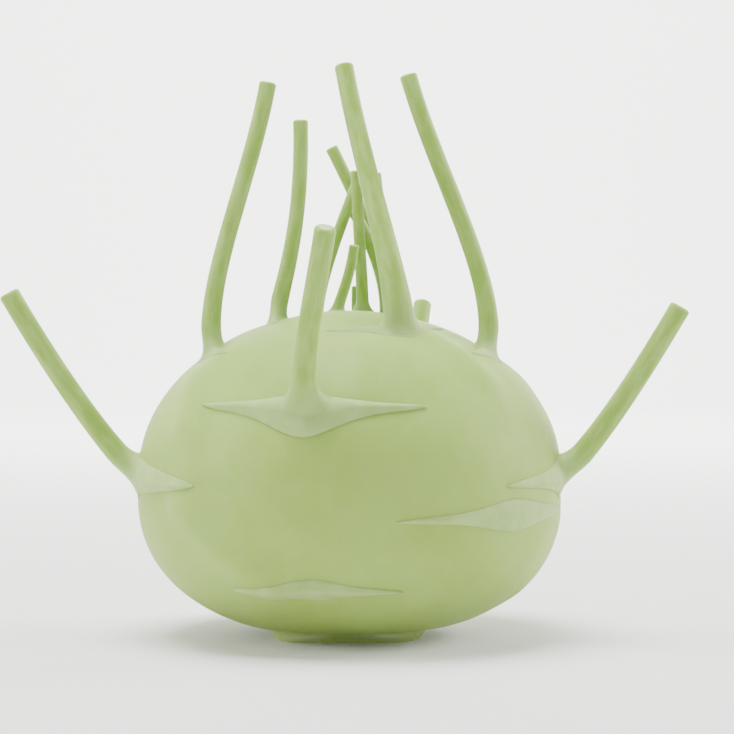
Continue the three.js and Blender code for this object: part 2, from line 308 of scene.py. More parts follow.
def outside_base(leaf, from_top, along, mm_up):
    """How many mm a place is above or below the edge of a base, and how many mm past its tips. Past a
    tip, the edge is the middle line itself."""
    width = base_width(leaf, along)
    beyond = np.maximum(0, np.maximum(mm_up - leaf["rise"] * width, -leaf["drop"] * width - mm_up))
    arm = np.radians(leaf.get("half", CLASP_ANGLE)) * reach(from_top) * np.sin(from_top)
    return beyond, np.maximum(0, np.abs(along) - 1) * arm


def saddles(from_top, azimuth):
    """Round every base the ball is drawn in a little: -depth * exp(-(beyond / width)^2 - (past / fade)^2)."""
    total = np.zeros_like(from_top)
    for leaf in BASES:
        beyond, past = outside_base(leaf, from_top, *base_place(leaf, from_top, azimuth))
        bell = np.exp(-((beyond / SADDLE["width"]) ** 2) - (past / SADDLE["fade"]) ** 2)
        total -= SADDLE["depth"] * bell
    return total


def below_to_above(sizes, place):
    """A size that changes across a base: `below` under the middle line and `above` over it, with a
    straight blend between the two, as wide as the edge blend."""
    return sizes["below"] + (sizes["above"] - sizes["below"]) * np.clip(0.5 + place / EDGE_BLEND, 0, 1)


def edge_strength(leaf, along):
    """How strongly the edge of a base is drawn: crisp * (thin edge + (1 - thin edge) * width)."""
    return leaf.get("crisp", 1) * (THIN_EDGE + (1 - THIN_EDGE) * base_width(leaf, along))


def creases(from_top, azimuth):
    """A narrow groove under every base and on past its tips:
    -depth * exp(-(beyond / width)^2 - past / fade), shallower above the base than below it, and
    shallower where the base is thin."""
    total = np.zeros_like(from_top)
    for leaf in BASES:
        along, mm_up = base_place(leaf, from_top, azimuth)
        beyond, past = outside_base(leaf, from_top, along, mm_up)
        depth = below_to_above(GROOVE, mm_up) * edge_strength(leaf, np.clip(along, -1, 1))
        bell = np.exp(-((beyond / GROOVE["width"]) ** 2) - past / GROOVE["fade"])
        total = np.minimum(total, -depth * bell)
    return total


print("grooves:", GROOVE["below"], "mm deep under a base and", GROOVE["above"], "mm above it")

# %% [markdown]
# Where the ball narrows to its root, the skin is drawn in once more. The slow shapes are summed first,
# because the leaf bases lie on them too. The narrow grooves belong to the bare skin alone.

# %% Neck and the whole relief
NECK = dict(all_round=0.3, front=1.0, radius=19.0, width=4.5)


def neck(points):
    """Where the ball narrows to its root, the skin is drawn in, and most at the front:
    -(all round + front * max(0, cos azimuth)^2) * exp(-((mm from the axis - radius) / width)^2)."""
    from_axis = np.hypot(points[..., 0], points[..., 1])
    facing = np.maximum(0, -points[..., 1] / np.maximum(from_axis, TINY)) ** 2
    depth = (NECK["all_round"] + NECK["front"] * facing) * (points[..., 2] < WAIST)
    return -depth * np.exp(-(((from_axis - NECK["radius"]) / NECK["width"]) ** 2))


def swelling(from_top, azimuth):
    """The slow part of the relief, which the leaf bases lie on: waves + ridges + saddles + neck."""
    points = on_skin(from_top, azimuth)
    slants = sum(ridge(points, **each) for each in RIDGES)
    return waves(points) + slants + saddles(from_top, azimuth) + neck(points)


def dressed(from_top, azimuth):
    """The height of the outermost tissue, and a 1 where that is a leaf base and a 0 where it is skin."""
    height = swelling(from_top, azimuth)
    on_base = np.zeros_like(height)
    bare = height.copy()
    for leaf in BASES:
        along, mm_up = base_place(leaf, from_top, azimuth)
        across = base_across(leaf, along, mm_up)
        inside = (np.abs(along) < 1) & (np.abs(across) < 1)
        height = np.where(inside, np.maximum(height, bare + base_raise(leaf, along, across)), height)
        on_base = np.where(inside, 1.0, on_base)
    return height, on_base


middles = [dressed(level_at(leaf["height"]), leaf["azimuth"])[0] for leaf in BASES]
print("middles of the bases, in mm above the oval:", [round(float(middle), 1) for middle in middles])

# %% [markdown]
# One helper turns a grid of points into a closed mesh. The rows run from one pole to the other, the
# columns go round, and each end closes in a fan on a single point. The sign of the mesh's volume tells
# whether the faces look outwards, and if they don't, every face is turned over.

# %% Grid to mesh
ROOT_BODY = "root"


def grid_faces(count, around):
    """The numbers of a grid's points by row and column, those of the next column, and the faces. The
    last column joins the first."""
    at = np.arange(count * around).reshape(count, around)
    beside = np.roll(at, -1, axis=1)
    return at, beside, np.stack([at[:-1], beside[:-1], beside[1:], at[1:]], axis=-1).reshape(-1, 4)


def closed_mesh(name, rows, first_pole, last_pole, slot, attributes):
    """A piece from rows of points in mm, shape (rows, columns, 3), closed by a pole at each end.
    attributes gives one number or one 3-vector for every point of the grid."""
    count, around = rows.shape[:2]
    points = np.concatenate([rows.reshape(-1, 3), [first_pole], [last_pole]]) * MM
    at, beside, quads = grid_faces(count, around)
    pole = count * around
    fans = [np.stack([np.full(around, pole), beside[0], at[0]], axis=-1),
            np.stack([np.full(around, pole + 1), at[-1], beside[-1]], axis=-1)]
    corners = points[quads]
    volume = np.einsum("ij,ij->", corners[:, 0], np.cross(corners[:, 1], corners[:, 2]))
    volume += np.einsum("ij,ij->", corners[:, 0], np.cross(corners[:, 2], corners[:, 3]))
    faces = quads.tolist() + fans[0].tolist() + fans[1].tolist()
    if volume < 0:
        faces = [face[::-1] for face in faces]
    mesh = bpy.data.meshes.new(name)
    mesh.from_pydata(points.tolist(), [], faces)
    mesh.shade_smooth()
    for key, values in attributes.items():
        values = np.asarray(values, np.float32)
        is_vector = values.ndim == 3
        flat = values.reshape(-1, 3) if is_vector else values.reshape(-1, 1)
        flat = np.concatenate([flat, flat[:1], flat[-1:]])
        layer = mesh.attributes.new(key, "FLOAT_VECTOR" if is_vector else "FLOAT", "POINT")
        layer.data.foreach_set("vector" if is_vector else "value", flat.ravel())
    piece = bpy.data.objects.new(name, mesh)
    bpy.context.scene.collection.objects.link(piece)
    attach(piece, ROOT_BODY)
    return piece


print("a grid of 3 by 4 points has", len(grid_faces(3, 4)[2]), "faces between its ends")

# %% [markdown]
# The ball itself could be a sphere that is sculpted by hand. Here it is a grid of directions from the
# middle of the waist, because then the two formulas above are all it needs: the oval says how far
# away the skin is, and the relief pushes it in or out. The grid is fine enough for the narrow grooves.

# %% Swollen stem
SKIN_AROUND, SKIN_RINGS = 450, 210


def make_bulb():
    """The ball: a grid of azimuth by angle from the top, pushed out by the relief."""
    from_top = np.pi * np.arange(1, SKIN_RINGS) / SKIN_RINGS
    azimuth = 360 * np.arange(SKIN_AROUND) / SKIN_AROUND - 180
    from_top, azimuth = np.meshgrid(from_top, azimuth, indexing="ij")
    height = swelling(from_top, azimuth) + creases(from_top, azimuth)
    rows = on_skin(from_top, azimuth, height)
    poles = [rows[row].mean(axis=0) for row in (0, -1)]
    bare = np.zeros_like(from_top)
    piece = closed_mesh("bulb_skin", rows, *poles, "bulb_skin", {"on_base": bare, "on_stalk": bare})
    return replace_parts(piece, "bulb")


bulb = make_bulb()
print("bulb:", len(bulb.data.polygons), "faces")

# %% [markdown]
# The leaf bases are made apart from the skin, so that their edges are as crisp as on the plant. The
# section of a base is carried from tip to tip: over the top it follows the raise of the tissue, at
# its edges it rolls down into the groove, and below it closes inside the ball.

# %% Leaf bases and scars
SECTION_TOP, SECTION_UNDER = 27, 5
STATIONS = 111
SUNK = 1.0
UNDER_WIDTH = 0.96
ROLL = dict(above=0.12, below=0.33, power=12, bend=0.4)


def make_base(name, leaf):
    """A base: along runs -1 to 1 between its tips, and the section goes once round. On top, across
    is sin(pi s / 2), so that points crowd towards the edges, and the edge rolls down by
    (1 - |across|^power)^bend from its full height to the floor of the groove, less above than below."""
    along = np.sin(np.pi / 2 * np.linspace(-1, 1, STATIONS + 2)[1:-1])
    over = np.sin(np.pi / 2 * np.linspace(-1, 1, SECTION_TOP))
    under = np.linspace(UNDER_WIDTH, -UNDER_WIDTH, SECTION_UNDER)
    along_top, over = np.meshgrid(along, over, indexing="ij")
    along_under, under = np.meshgrid(along, under, indexing="ij")
    rolled = np.maximum(0, 1 - np.abs(over) ** ROLL["power"]) ** ROLL["bend"]
    roll = below_to_above(ROLL, over) * edge_strength(leaf, along_top)
    top = (base_raise(leaf, along_top, over) + roll) * rolled - roll
    deep = -ROLL["below"] - SUNK * base_width(leaf, along_under)
    along = np.concatenate([along_top, along_under], axis=1)
    across = np.concatenate([over, under], axis=1)
    height = np.concatenate([top, deep], axis=1)
    level = level_at(leaf["height"])
    edge = np.where(across > 0, leaf["rise"], leaf["drop"]) * base_width(leaf, along)
    from_top = level - (across * edge - SAG * along**2) / reach(level)
    azimuth = leaf["azimuth"] + along * leaf.get("half", CLASP_ANGLE)
    rows = on_skin(from_top, azimuth, swelling(from_top, azimuth) + height)
    poles = [rows[row].mean(axis=0) for row in (0, -1)]
    whole = np.ones_like(across)
    return closed_mesh(name, rows, *poles, "bulb_skin", {"on_base": whole, "on_stalk": 0 * whole})


bases = [make_base(f"leaf_scar_{number:02d}", leaf) for number, leaf in enumerate(SCARS, 1)]
bases += [make_base(f"leaf_base_{number:02d}", leaf)
          for number, leaf in enumerate(STALKS, 1) if leaf in BASES]
print("bases:", len(bases), "with", len(bases[0].data.polygons), "faces each")

# %% [markdown]
# A stalk is a round section carried along one smooth curve from the skin to the cut. Where it meets
# the ball it must not look stuck on: its foot spreads into a skirt that leaves the stalk in line with
# it and lands on the leaf base flat against it. A Hermite curve does both, because it is drawn from
# its two ends and the two ways it should go there.

# %% Middle lines of the stalks
STALK_SIDES = 32
RING_STEP = 1.3
FEWEST_RINGS = 6
CURVE_STEPS = 600
HANDLES = (0.24, 0.38)


def stalk_curve(stalk):
    """The middle line: a cubic Bezier curve, foot (1 - t)^3 + 3 low t (1 - t)^2 + 3 high t^2 (1 - t) +
    cut t^3, whose handles lean as `start` and `end` say. Returns a function that gives places and ways
    at distances along it, and its length."""
    azimuth = stalk["azimuth"]
    out, round_it, up = outward(azimuth), sideways(azimuth), np.array([0, 0, 1.0])

    def leaning(lean):
        """The way at a lean: out * tan(lean outwards) + round * tan(lean round) + up, made 1 long."""
        way = out * np.tan(np.radians(lean[0])) + round_it * np.tan(np.radians(lean[1])) + up
        return way / np.linalg.norm(way)

    foot = on_skin(level_at(stalk["height"]), azimuth)
    cut = out * stalk["tip"][0] + round_it * stalk["tip"][1] + up * stalk["tip"][2]
    span = np.linalg.norm(cut - foot)
    low_share, high_share = stalk.get("handles", HANDLES)
    low = foot + leaning(stalk["start"]) * low_share * span
    high = cut - leaning(stalk["end"]) * high_share * span

    def place(t):
        """Where the curve is at t, from 0 at the foot to 1 at the cut."""
        t = t[:, None]
        return foot * (1 - t) ** 3 + 3 * low * t * (1 - t) ** 2 + 3 * high * t**2 * (1 - t) + cut * t**3

    def way(t):
        """Which way it goes there: 3 ((low - foot) (1 - t)^2 + 2 (high - low) t (1 - t) +
        (cut - high) t^2), made 1 long."""
        t = t[:, None]
        speed = 3 * ((low - foot) * (1 - t) ** 2 + 2 * (high - low) * t * (1 - t) + (cut - high) * t**2)
        return speed / np.linalg.norm(speed, axis=1, keepdims=True)

    fine = np.linspace(0, 1, CURVE_STEPS)
    steps = np.linalg.norm(np.diff(place(fine), axis=0), axis=1)
    travelled = np.concatenate([[0], np.cumsum(steps)])

    def at(distance):
        """The place and the way at mm along the curve, where t is read off a table of distances."""
        t = np.interp(distance, travelled, fine)
        return place(t), way(t)

    return at, travelled[-1]


def rings(at, distances, radii, azimuth, turn):
    """Round rings about the curve: place + radius * (side * cos turn + front * sin turn), where side
    is the way round the ball, squared up to the curve, and front is across both."""
    places, ways = at(distances)
    side = sideways(azimuth) - (ways @ sideways(azimuth))[:, None] * ways
    side /= np.linalg.norm(side, axis=1, keepdims=True)
    front = np.cross(ways, side)
    round_way = side[:, None] * np.cos(turn)[None, :, None] + front[:, None] * np.sin(turn)[None, :, None]
    return places[:, None] + radii[..., None] * round_way


print("middle lines:", [round(stalk_curve(stalk)[1]) for stalk in STALKS], "mm long")

# %% [markdown]
# The skirt spreads over the leaf base. Its landing is an oval on the ball, a little wider than the foot
# and stretched uphill where the stalk leans out, and each of its columns leaves the stalk in line with
# that column's own side. So neither end shows where one piece stops and the other starts.

# %% Skirts of the stalks
SKIRT_ROWS = 14
SKIRT_GIRTHS = 1.5
NUDGE = 0.01
LANDING = dict(wider=1.3, taller=1.15, least_upright=0.6, inner=0.93, dip=0.04)
SKIRT_PULL = 0.9
TUCKED = dict(deep=1.0, inward=0.2, middle=1.4)


def skirt(stalk, at, turn, top_ring, leaving):
    """The foot between the leaf base and the stalk's first ring. For each turn it is the Hermite curve
    (2 t^3 - 3 t^2 + 1) low + (t^3 - 2 t^2 + t) inward + (3 t^2 - 2 t^3) top + (t^3 - t^2) leaving, from
    the oval where it lands to the ring, where leaving is the way that side of the stalk goes. Returns
    its rows, the edge and the middle of the root that is sunk in the ball, and whether each turn lands
    on a leaf base."""
    place, way = (x[0] for x in at(np.zeros(1)))
    from_top, azimuth = angles_of(place)
    uphill = on_skin(from_top - NUDGE, azimuth) - on_skin(from_top + NUDGE, azimuth)
    uphill /= np.linalg.norm(uphill)
    round_it = sideways(stalk["azimuth"])
    straight_out = np.cross(round_it, uphill)
    upright = max(abs(way @ straight_out), LANDING["least_upright"])
    half_round = stalk["girth"] / 2 * stalk["foot"][0] * LANDING["wider"]
    half_up = stalk["girth"] / 2 * (stalk["foot"][1] / upright) * LANDING["taller"]

    def landing(share):
        """An oval about the foot, share * (half round * cos turn round the ball, half up * sin turn
        uphill), set down on the tissue, and whether that is a leaf base."""
        flat = place + share * (half_round * np.cos(turn)[:, None] * round_it
                                + half_up * np.sin(turn)[:, None] * uphill)
        angle, around = angles_of(flat)
        height, on_base = dressed(angle, around)
        return on_skin(angle, around, height - LANDING["dip"]), on_base

    low, on_base = landing(1.0)
    inner, _ = landing(LANDING["inner"])
    inward = inner - low
    inward /= np.linalg.norm(inward, axis=1, keepdims=True)
    far = np.linalg.norm(top_ring - low, axis=1, keepdims=True)
    t = np.linspace(0, 1, SKIRT_ROWS)[:-1, None, None]
    rows = ((2 * t**3 - 3 * t**2 + 1) * low + (t**3 - 2 * t**2 + t) * inward * far
            + (3 * t**2 - 2 * t**3) * top_ring + (t**3 - t**2) * leaving * far * SKIRT_PULL)
    sunk = low - straight_out * TUCKED["deep"] + inward * TUCKED["inward"]
    return rows, sunk, place - straight_out * TUCKED["middle"], on_base


print("skirts:", round(min(stalk["girth"] for stalk in STALKS) * SKIRT_GIRTHS, 1), "to",
      round(max(stalk["girth"] for stalk in STALKS) * SKIRT_GIRTHS, 1), "mm high")

# %% [markdown]
# The stalk itself is thicker where it starts, swells a hair at the cut, where the knife pressed it, and
# has faint ribs. Its rim is a small quarter of a circle, and the cut face inside it has dried a little
# hollow. One closed grid holds all of it, from the sunk root to the middle of the cut.

# %% Stalks and their cuts
TAPER = dict(share=0.18, reach=12.0)
CUT_SWELL = dict(share=0.02, reach=1.6)
RIBS = dict(count=11, height=0.01, full_at=0.25)
RIM_SHARE = 0.33
RIM_ROWS = 5
CUT_RINGS = np.array([0.86, 0.72, 0.55, 0.36, 0.18])
CUT_DISH = np.array([0.0, 0.01, 0.03, 0.05, 0.06])


def stalk_radii(number, stalk, distances, start, length, turn):
    """The radius at each distance and turn: half the girth * (1 + taper * exp(-distance / reach) +
    swell * exp(-(mm from the cut / reach)^2)), and ribs of height * cos(count * turn + number)."""
    taper, taper_reach = stalk.get("taper", TAPER["share"]), stalk.get("taper_reach", TAPER["reach"])
    swell = 1 + taper * np.exp(-distances / taper_reach)
    swell += CUT_SWELL["share"] * np.exp(-(((length - distances) / CUT_SWELL["reach"]) ** 2))
    risen = np.minimum(1, (distances - start) / (length - start) / RIBS["full_at"])
    ribs = RIBS["height"] * np.cos(RIBS["count"] * turn + number)[None] * risen[:, None]
    return stalk["girth"] / 2 * swell[:, None] + ribs


def cut_end(at, length, radii, rim_size, azimuth, turn):
    """The rim, a quarter of a circle, then the face inside it, which dips towards its middle. Returns
    the rows of both and the middle point."""
    roll = np.linspace(0, np.pi / 2, RIM_ROWS + 1)[1:]
    rim_radii = radii[None] - rim_size * (1 - np.cos(roll))[:, None]
    rim = rings(at, length - rim_size * (1 - np.sin(roll)), rim_radii, azimuth, turn)
    face_radii = rim_radii[-1][None] * CUT_RINGS[:, None]
    face = rings(at, np.full(len(CUT_RINGS), length), face_radii, azimuth, turn)
    middle, way = (x[0] for x in at(np.array([length])))
    return np.concatenate([rim, face - CUT_DISH[:, None, None] * way]), middle - CUT_DISH[-1] * way


print("cuts:", CUT_DISH[-1], "mm hollow, with rims of", RIM_SHARE, "of the radius")

# %% [markdown]
# The rind has to know where it is, so each point of a stalk carries four attributes: how far it is
# leaf base, how far it is stalk, where it lies in the grain, and how near the middle of the cut it is.
# The grain is drawn out along the stalk, and each stalk has its own stretch of it.

# %% Whole stalks
GREEN_BY, SETTLED_BY = 1.3, 0.7
GRAIN = dict(drawn_out=0.2, apart=10.0)


def stalk_attributes(number, up_stalk, start, radius, on_base, turn):
    """For each row and turn: on_stalk is u^2 (3 - 2 u), where u rises over the skirt from 0 to 1, on_base
    goes from what the skirt lands on to 1, grain is (radius cos turn, radius sin turn, mm up the
    stalk * drawn out + a place of its own), and to_middle is 0 up to the rim and rises on the cut."""
    full_row = np.ones((1, len(turn)))
    green = np.clip(up_stalk / (start * GREEN_BY), 0, 1)[:, None] * full_row
    settled = np.clip(up_stalk / (start * SETTLED_BY), 0, 1)[:, None]
    to_middle = np.concatenate([np.zeros(len(up_stalk) - len(CUT_RINGS)), 1 - CUT_RINGS])
    grain_up = up_stalk[:, None] * GRAIN["drawn_out"] + number * GRAIN["apart"]
    grain = np.broadcast_arrays(np.cos(turn)[None] * radius, np.sin(turn)[None] * radius, grain_up)
    return {"on_base": on_base[None] * (1 - settled) + settled, "on_stalk": green**2 * (3 - 2 * green),
            "grain": np.stack(grain, axis=-1), "to_middle": to_middle[:, None] * full_row}


def make_stalk(number, stalk):
    """A whole stalk as one closed grid: sunk root, skirt, round stalk, rim and cut. Returns the piece,
    the material of each of its faces (0 is rind and 1 is pith) and its length."""
    at, length = stalk_curve(stalk)
    azimuth, radius = stalk["azimuth"], stalk["girth"] / 2
    turn = 2 * np.pi * np.arange(STALK_SIDES) / STALK_SIDES
    start = stalk["girth"] * SKIRT_GIRTHS
    rim_size = RIM_SHARE * radius
    count = max(FEWEST_RINGS, round((length - start) / RING_STEP))
    distances = np.linspace(start, length - rim_size, count)
    radii = stalk_radii(number, stalk, distances, start, length, turn)
    tube = rings(at, distances, radii, azimuth, turn)
    leaving = tube[1] - tube[0]
    leaving /= np.linalg.norm(leaving, axis=1, keepdims=True)
    foot, sunk, root_middle, on_base = skirt(stalk, at, turn, tube[0], leaving)
    cut, cut_middle = cut_end(at, length, radii[-1], rim_size, azimuth, turn)
    rows = np.concatenate([sunk[None], foot, tube, cut])
    up_skirt = np.linspace(0, start, SKIRT_ROWS)[:-1]
    up_stalk = np.concatenate([[0], up_skirt, distances, np.full(len(cut), length)])
    attributes = stalk_attributes(number, up_stalk, start, radius, on_base, turn)
    # The frame's own solid is called leaf_stalk, so the dressed piece is a petiole, as botanists say.
    piece = closed_mesh(f"petiole_{number:02d}", rows, root_middle, cut_middle, "leaf_stalk", attributes)
    # The faces are the rows in order, then the fan at the root, then the fan in the middle of the cut.
    materials = np.zeros(len(piece.data.polygons), np.int32)
    last_row = len(rows) - 1
    materials[(last_row - len(CUT_RINGS)) * STALK_SIDES:last_row * STALK_SIDES] = 1
    materials[-STALK_SIDES:] = 1
    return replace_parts(piece, f"leaf_stalk_{number:02d}"), materials, length


petioles = [make_stalk(number, stalk) for number, stalk in enumerate(STALKS, 1)]
print("stalks:", len(petioles), "with", sum(len(piece.data.polygons) for piece, _, _ in petioles), "faces")

# %% [markdown]
# Under the ball is the stub of the root, sawn off level. In plan it is a rounded square, squarest at
# the front left. It is a second closed surface, whose rows run out over the cut, up the wall and in
# under the skin, so a plan and a profile are enough to shape it.

# %% Plan and profile of the root stub
ROOT = dict(half_width=16.2, top_half_width=18.8, top=3.2, bevel=0.45, flare=0.6, even_to=0.9)
ROOT_ROWS = dict(cut=26, bevel=4, wall=24)
ROOT_ROOF = dict(sizes=(0.97, 0.85, 0.6, 0.3), heights=(4.2, 5.5, 6.5, 7.0))
ROOT_MIDDLES = dict(cut=0.15, roof=7.2)
ROOT_INNERMOST = 0.04
ROOT_SQUARENESS = dict(mean=4.0, more=2.0, squarest=-60)


def root_plan(azimuth):
    """A rounded square of half width 1: (|sin a|^p + |cos a|^p)^(-1/p), where the squareness p is
    mean + more * cos(a - squarest)."""
    bend = np.cos(np.radians(azimuth - ROOT_SQUARENESS["squarest"]))
    power = ROOT_SQUARENESS["mean"] + ROOT_SQUARENESS["more"] * bend
    angle = np.radians(azimuth)
    return (np.abs(np.sin(angle)) ** power + np.abs(np.cos(angle)) ** power) ** (-1 / power)


def root_profile():
    """The size and height of each row: out over the cut, round a small bevel, up a wall of size
    half width + (top half width - half width) * (height / top)^flare, and in again inside the ball."""
    narrow, wide, bevel = ROOT["half_width"], ROOT["top_half_width"], ROOT["bevel"]
    cut = np.linspace(ROOT_INNERMOST, 1, ROOT_ROWS["cut"]) * (narrow - bevel)
    roll = np.linspace(0, np.pi / 2, ROOT_ROWS["bevel"] + 2)[1:-1]
    up_wall = np.linspace(bevel, ROOT["top"], ROOT_ROWS["wall"])
    wall = narrow + (wide - narrow) * (up_wall / ROOT["top"]) ** ROOT["flare"]
    edge = wall[0] - bevel * (1 - np.sin(roll))
    sizes = np.concatenate([cut, edge, wall, wide * np.array(ROOT_ROOF["sizes"])])
    heights = np.concatenate([0 * cut, bevel * (1 - np.cos(roll)), up_wall, ROOT_ROOF["heights"]])
    return sizes, heights


print("root stub:", 2 * ROOT["half_width"], "mm across the cut,", len(root_profile()[0]), "rows")

# %% [markdown]
# Two things keep the stub from looking turned on a lathe. Its plan is slightly uneven, and the scars of
# the first leaves stand out of its wall as low, slanting bumps. The saw has left faint waves on the
# cut, which is a little hollow in the middle.

# %% Root stub
ROOT_SCARS = [
    dict(azimuth=-26, half=15, height=1.5, slant=0.05, reach=0.7, rise=0.8),
    dict(azimuth=24, half=17, height=1.6, slant=-0.02, reach=0.7, rise=0.6),
    dict(azimuth=-118, half=16, height=1.4, slant=0.03, reach=0.7, rise=0.6),
    dict(azimuth=112, half=18, height=1.5, slant=-0.03, reach=0.7, rise=0.6),
    dict(azimuth=174, half=15, height=1.5, slant=0.02, reach=0.7, rise=0.6),
]
ROOT_EDGE = dict(seed=21, fewest=5, most=32, height=0.05)
SAW = dict(hollow=0.12, depth=0.03, spacing=1.7, turned=20)
ROOT_AROUND = 300


def root_edge(azimuth):
    """How uneven the plan is: the sum of height * cos(n * azimuth + start), n from 5 to 32, with seeded
    starts."""
    draw = np.random.default_rng(ROOT_EDGE["seed"])
    turns = np.arange(ROOT_EDGE["fewest"], ROOT_EDGE["most"] + 1)
    starts = draw.uniform(0, 2 * np.pi, len(turns))
    return ROOT_EDGE["height"] * np.cos(np.radians(azimuth)[:, None] * turns + starts).sum(axis=1)


def root_scars(azimuth, heights):
    """Each scar stands out by rise * exp(-(turn / half)^2 - ((mm up - height - slant * turn) / reach)^2).
    Returns the sum in mm, and how far each point is scar."""
    raised, scarred = np.zeros((2, len(heights), len(azimuth)))
    for scar in ROOT_SCARS:
        off = (azimuth - scar["azimuth"] + 180) % 360 - 180
        mm_off = heights[:, None] - scar["height"] - scar["slant"] * off
        shape = np.exp(-((off / scar["half"]) ** 2) - (mm_off / scar["reach"]) ** 2)
        raised += scar["rise"] * shape
        scarred = np.maximum(scarred, shape)
    return raised, scarred


def make_root():
    """The rows follow the plan, and near the wall the uneven edge and the scars are added. The cut is
    hollowed by (hollow + depth * (1 + cos(2 pi * mm across the saw / spacing))) * (1 - size^2), where
    size is 1 at the widest row."""
    sizes, heights = root_profile()
    azimuth = 360 * np.arange(ROOT_AROUND) / ROOT_AROUND - 180
    raised, scarred = root_scars(azimuth, heights)
    outer = np.clip((sizes / ROOT["half_width"] - ROOT["even_to"]) / (1 - ROOT["even_to"]), 0, 1)[:, None]
    radius = sizes[:, None] * root_plan(azimuth)[None] + outer * (root_edge(azimuth)[None] + raised)
    across_saw = radius * np.sin(np.radians(azimuth + SAW["turned"]))[None]
    sawn = SAW["hollow"] + SAW["depth"] * (1 + np.cos(2 * np.pi * across_saw / SAW["spacing"]))
    on_cut = (heights < TINY)[:, None] * (1 - (sizes / sizes.max())[:, None] ** 2)
    rows = outward(azimuth)[None] * radius[..., None]
    rows[..., 2] = heights[:, None] + on_cut * sawn
    poles = [[0, 0, height] for height in (ROOT_MIDDLES["cut"], ROOT_MIDDLES["roof"])]
    attributes = {"on_base": scarred, "on_stalk": 0 * radius}
    return closed_mesh("root_stub", rows, *poles, "bulb_skin", attributes)


root = make_root()
print("root stub:", len(root.data.polygons), "faces")

# %% [markdown]
# Now the finishes. One helper adds a node, with its settings, its values and its links, and everything
# below is written with it. Patterns are sized in millimetres: `per(4)` is the scale of a noise whose
# blotches are 4 mm apart.

# %% Node helper and colours
# Some nodes give several sockets one name, so these go by number: those of a Mix node's colours, and
# the inputs of a Math node.
FACTOR, UNDER, OVER, MIXED = 0, 6, 7, 2
FIRST, SECOND, THIRD = 0, 1, 2


def linear(code):
    """An sRGB hex colour as Blender's linear colour, by the sRGB curve."""
    part = np.array([code >> 16 & 255, code >> 8 & 255, code & 255]) / 255
    part = np.where(part <= 0.04045, part / 12.92, ((part + 0.055) / 1.055) ** 2.4)
    return (*part.tolist(), 1.0)


def per(mm):
    """The scale of a pattern whose repeats are this many millimetres apart."""
    return 1 / (mm * MM)


def add(tree, kind, values=None, **settings):
    """Adds a node. settings are its own options, and values go to its sockets: a number or colour is
    set there, and another node's socket is linked."""
    made = tree.nodes.new(kind)
    for key, value in settings.items():
        setattr(made, key, value)
    for key, value in (values or {}).items():
        if isinstance(value, bpy.types.NodeSocket):
            tree.links.new(value, made.inputs[key])
        else:
            made.inputs[key].default_value = value
    return made


def new_material(name):
    """An empty material and its node tree."""
    material = bpy.data.materials.new(name)
    material.use_nodes = True
    material.node_tree.nodes.clear()
    return material, material.node_tree


print("a pattern of 20 mm has a scale of", round(per(20)), "and one of 0.8 mm a scale of", round(per(0.8)))

# %% [markdown]
# Kohlrabi rind is a tight green skin under a film of wax. The wax makes it look paler and greyer where
# it is thick, and a touch shinier where a hand has rubbed it off. Light goes a few millimetres into
# the flesh and comes out softer, and the film adds a pale sheen at the edges. The leaf bases are
# corkier: paler, greyer and duller. The stalks are greener and streaked along their length. Because
# one runs into the other with no line between them, all three are the same recipe, led by two
# attributes of the mesh: how far it is leaf base, and how far it is stalk.

# %% Waxy rind
RIND = dict(olive=0x8EA54B, fresh=0x85A74A, pale=0x93AE56, wax=0xA2B777, base_grey=0x90AA62,
            base_pale=0x9AB26E, stalk_green=0x82A145, stalk_pale=0x92AE5B)
WAX_SHEEN = 0xF2F6E8
FRESH_FROM, FRESH_BY = 35, 75
STREAKS_PER_MM = 0.7
RUBBED = dict(shinier=0.06, duller=0.08)


